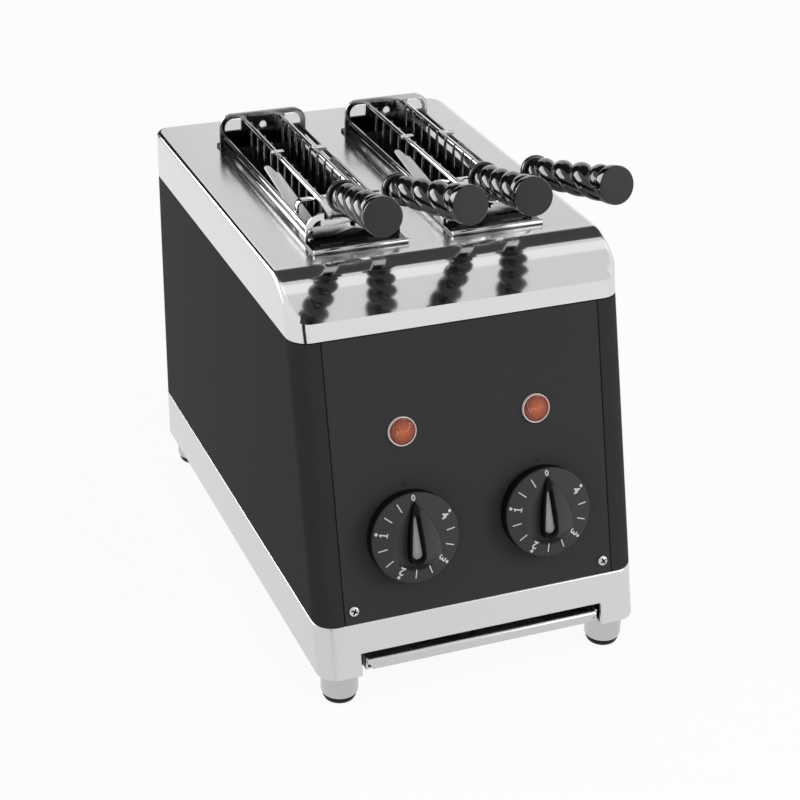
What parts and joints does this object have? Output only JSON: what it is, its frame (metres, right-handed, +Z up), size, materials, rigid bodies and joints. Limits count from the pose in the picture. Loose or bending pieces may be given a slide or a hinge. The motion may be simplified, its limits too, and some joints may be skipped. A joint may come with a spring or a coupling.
{
  "type": "two-slot sandwich toaster",
  "caption": "Counter-top toaster with a leaning black front, timer dials, signal lamps, a polished nose and sprung wire tongs with twisted black handles.",
  "frame": {"origin": "on the table, under the middle of the box that holds the toaster and its handles", "axes": "+Z up, -Y towards the front with the dials, +X to the right as seen from the front"},
  "size_m": [0.2, 0.3385, 0.3109],
  "materials": {
    "base_casting": "satin",
    "polished_steel": "polished",
    "bright_steel": "bright",
    "sheet_steel": "dull",
    "chromed_wire": "polished",
    "black_coating": "fine matt powder coat",
    "black_phenolic": "glossy",
    "black_dial": "satin",
    "grey_insert": "satin",
    "amber_lens": "glossy",
    "pale_bezel": "glossy",
    "black_rubber": "matt",
    "quartz_tube": "clear",
    "ceramic": "matt",
    "white_plastic": "matt",
    "brass_shaft": "turned"
  },
  "bodies": {
    "toaster_body": {"base_skirt": "base_casting", "bottom_plate": "sheet_steel", "feet": "base_casting", "foot_pads": "black_rubber", "case_wrap": "black_coating", "front_panel": "black_coating", "panel_screws": "bright_steel", "top_cover": "polished_steel", "left_slot_frame": "polished_steel", "right_slot_frame": "polished_steel", "left_guard_rods": "chromed_wire", "right_guard_rods": "chromed_wire", "chamber_liner": "sheet_steel", "grid_rests": "sheet_steel", "left_heater": "quartz_tube", "middle_heater": "quartz_tube", "right_heater": "quartz_tube", "heater_holders": "ceramic", "reflectors": "sheet_steel", "left_timer": "white_plastic", "right_timer": "white_plastic", "left_lamp_bezel": "pale_bezel", "right_lamp_bezel": "pale_bezel", "left_lamp_lens": "amber_lens", "right_lamp_lens": "amber_lens", "left_lamp_body": "white_plastic", "right_lamp_body": "white_plastic", "terminal_block": "white_plastic", "cable_gland": "black_dial", "tray_runners": "sheet_steel"},
    "left_knob": {"left_timer_shaft": "brass_shaft", "left_knob": "black_dial", "left_knob_pointer": "grey_insert"},
    "right_knob": {"right_timer_shaft": "brass_shaft", "right_knob": "black_dial", "right_knob_pointer": "grey_insert"},
    "crumb_tray": {"crumb_tray": "bright_steel"},
    "left_tong": {"left_tong_bridge": "chromed_wire", "left_tong_guides": "chromed_wire", "left_tong_pivot": "bright_steel", "left_tong_spring": "bright_steel"},
    "left_tong_left_arm": {"left_tong_left_grid": "chromed_wire", "left_tong_left_tang": "bright_steel", "left_tong_left_handle": "black_phenolic"},
    "left_tong_right_arm": {"left_tong_right_grid": "chromed_wire", "left_tong_right_tang": "bright_steel", "left_tong_right_handle": "black_phenolic"},
    "right_tong": {"right_tong_bridge": "chromed_wire", "right_tong_guides": "chromed_wire", "right_tong_pivot": "bright_steel", "right_tong_spring": "bright_steel"},
    "right_tong_left_arm": {"right_tong_left_grid": "chromed_wire", "right_tong_left_tang": "bright_steel", "right_tong_left_handle": "black_phenolic"},
    "right_tong_right_arm": {"right_tong_right_grid": "chromed_wire", "right_tong_right_tang": "bright_steel", "right_tong_right_handle": "black_phenolic"}
  },
  "joints": [
    {"name": "left_timer_turn", "type": "hinge", "parent": "toaster_body", "child": "left_knob", "pos_m": [-0.041, -0.14901, 0.099], "axis": [0, -0.969, 0.247], "range_deg": [-300, 0]},
    {"name": "right_timer_turn", "type": "hinge", "parent": "toaster_body", "child": "right_knob", "pos_m": [0.041, -0.14901, 0.099], "axis": [0, -0.969, 0.247], "range_deg": [-300, 0]},
    {"name": "tray_slide", "type": "slide", "parent": "toaster_body", "child": "crumb_tray", "axis": [0, -1, 0], "range_m": [0, 0.2]},
    {"name": "left_tong_lift", "type": "slide", "parent": "toaster_body", "child": "left_tong", "axis": [0, 0, 1], "range_m": [0, 0.14]},
    {"name": "left_tong_left_arm_open", "type": "hinge", "parent": "left_tong", "child": "left_tong_left_arm", "pos_m": [-0.042, -0.06264, 0.2617], "axis": [0, 0, 1], "range_deg": [0, 2.5], "stiffness_Nm_per_rad": 0.4, "springref_deg": -17.19},
    {"name": "left_tong_right_arm_open", "type": "hinge", "parent": "left_tong", "child": "left_tong_right_arm", "pos_m": [-0.042, -0.06264, 0.2617], "axis": [0, 0, 1], "range_deg": [-2.5, 0], "stiffness_Nm_per_rad": 0.4, "springref_deg": 17.19},
    {"name": "right_tong_lift", "type": "slide", "parent": "toaster_body", "child": "right_tong", "axis": [0, 0, 1], "range_m": [0, 0.14]},
    {"name": "right_tong_left_arm_open", "type": "hinge", "parent": "right_tong", "child": "right_tong_left_arm", "pos_m": [0.042, -0.06264, 0.2617], "axis": [0, 0, 1], "range_deg": [0, 2.5], "stiffness_Nm_per_rad": 0.4, "springref_deg": -17.19},
    {"name": "right_tong_right_arm_open", "type": "hinge", "parent": "right_tong", "child": "right_tong_right_arm", "pos_m": [0.042, -0.06264, 0.2617], "axis": [0, 0, 1], "range_deg": [-2.5, 0], "stiffness_Nm_per_rad": 0.4, "springref_deg": 17.19}
  ],
  "couplings": [
    {"joint": "left_tong_right_arm_open", "follows": "left_tong_left_arm_open", "ratio": -1},
    {"joint": "right_tong_right_arm_open", "follows": "right_tong_left_arm_open", "ratio": -1}
  ]
}
